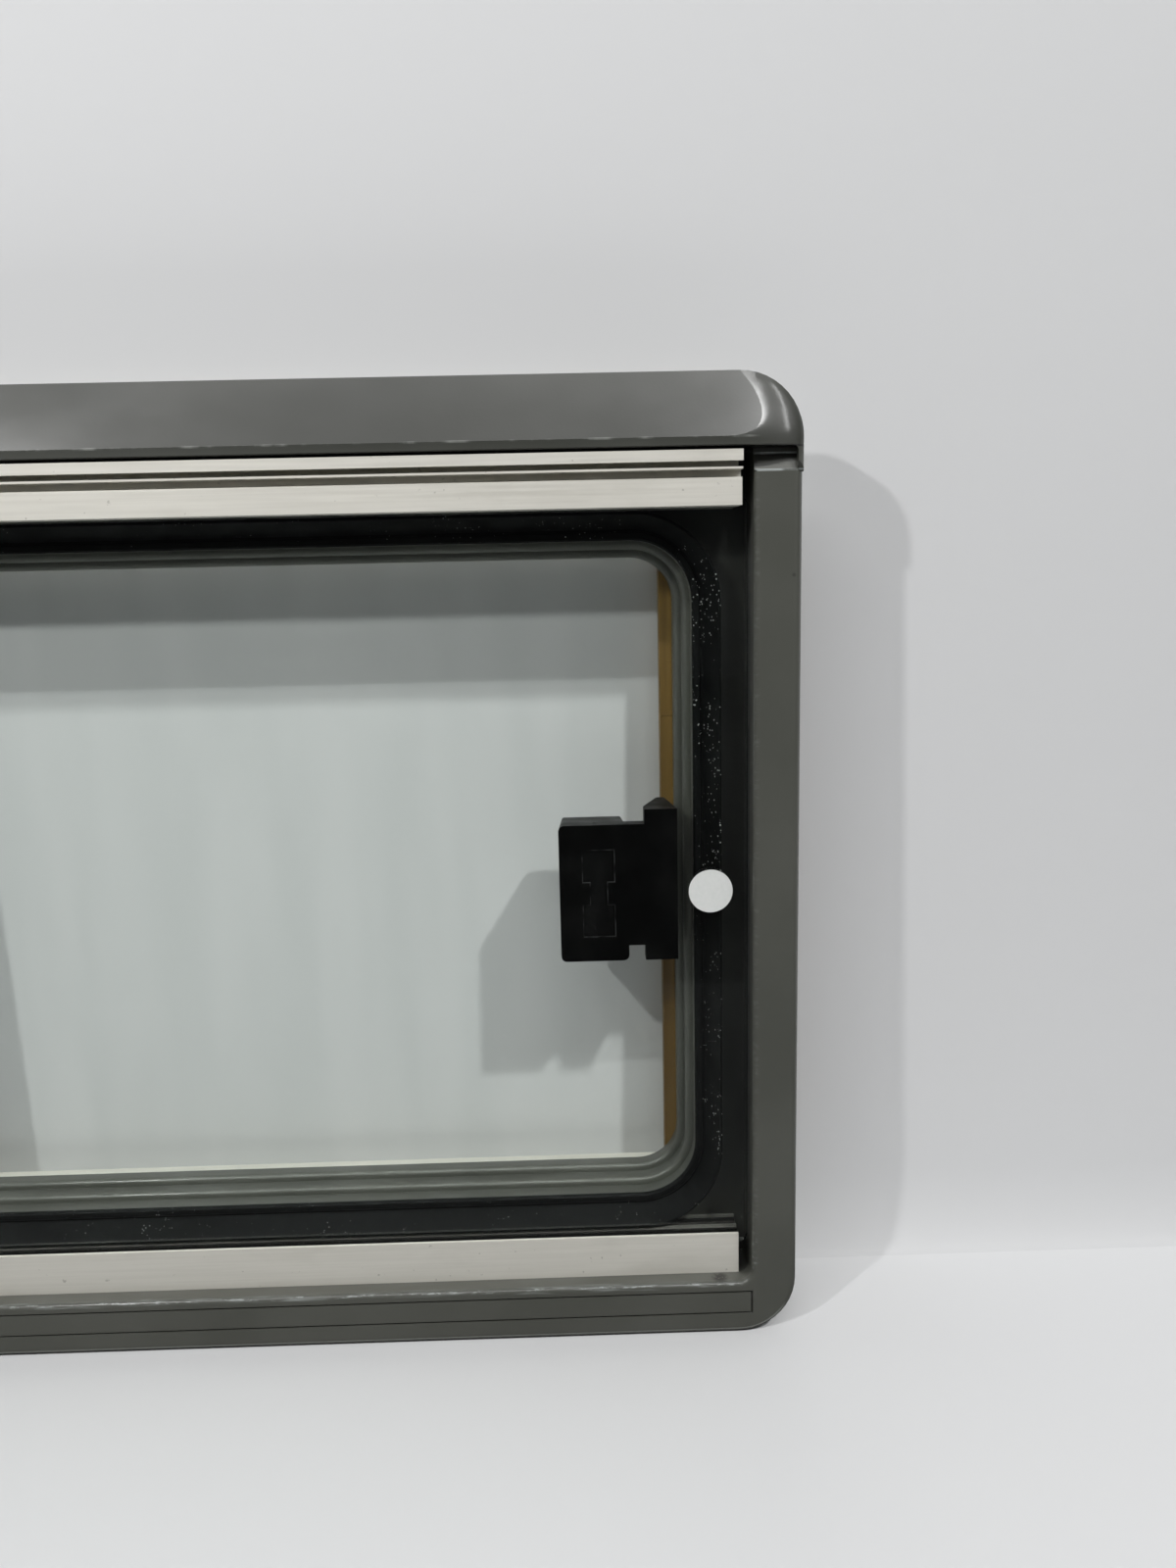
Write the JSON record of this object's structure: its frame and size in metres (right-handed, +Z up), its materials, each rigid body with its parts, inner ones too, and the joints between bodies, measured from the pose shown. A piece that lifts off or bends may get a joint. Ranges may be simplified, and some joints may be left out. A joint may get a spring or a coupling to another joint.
{
  "type": "sliding caravan window",
  "caption": "Sliding caravan window: grey moulded frame with a rain hood, bright grooved rails, tinted panes, rubber lip seals and a black hand latch inside.",
  "frame": {"origin": "on the back face of the outer flange, which seals against the wall's outer skin, in the middle of its bottom run", "axes": "+X right as seen from outside, +Y into the caravan, +Z up"},
  "size_m": [0.9406, 0.074, 0.4906],
  "materials": {
    "grey_moulding": "grained, satin",
    "bright_rail": "brushed, anodised",
    "track_pile": "short pile",
    "tinted_glass": "polished",
    "black_rubber": "matt, dusty",
    "black_plastic": "fine grained",
    "ochre_wood": "varnished"
  },
  "bodies": {
    "frame": {"outer_frame": "grey_moulding", "top_rail": "bright_rail", "bottom_rail": "bright_rail", "top_front_liner": "track_pile", "top_rear_liner": "track_pile", "bottom_front_liner": "track_pile", "bottom_rear_liner": "track_pile", "fixed_glass": "tinted_glass", "fixed_stile": "black_plastic", "meeting_pile": "track_pile", "right_seal": "black_rubber", "left_seal": "black_rubber", "rear_strip_top": "bright_rail", "rear_strip_bottom": "bright_rail", "rear_strip_right_upper": "ochre_wood", "rear_strip_right_lower": "ochre_wood", "rear_strip_left_upper": "ochre_wood", "rear_strip_left_lower": "ochre_wood"},
    "pane": {"sliding_glass": "tinted_glass", "sliding_stile": "black_plastic", "latch_grip": "black_plastic", "latch_catch": "black_plastic"}
  },
  "joints": [
    {"name": "pane_slide", "type": "slide", "parent": "frame", "child": "pane", "axis": [-1, 0, 0], "range_m": [0, 0.32]}
  ]
}
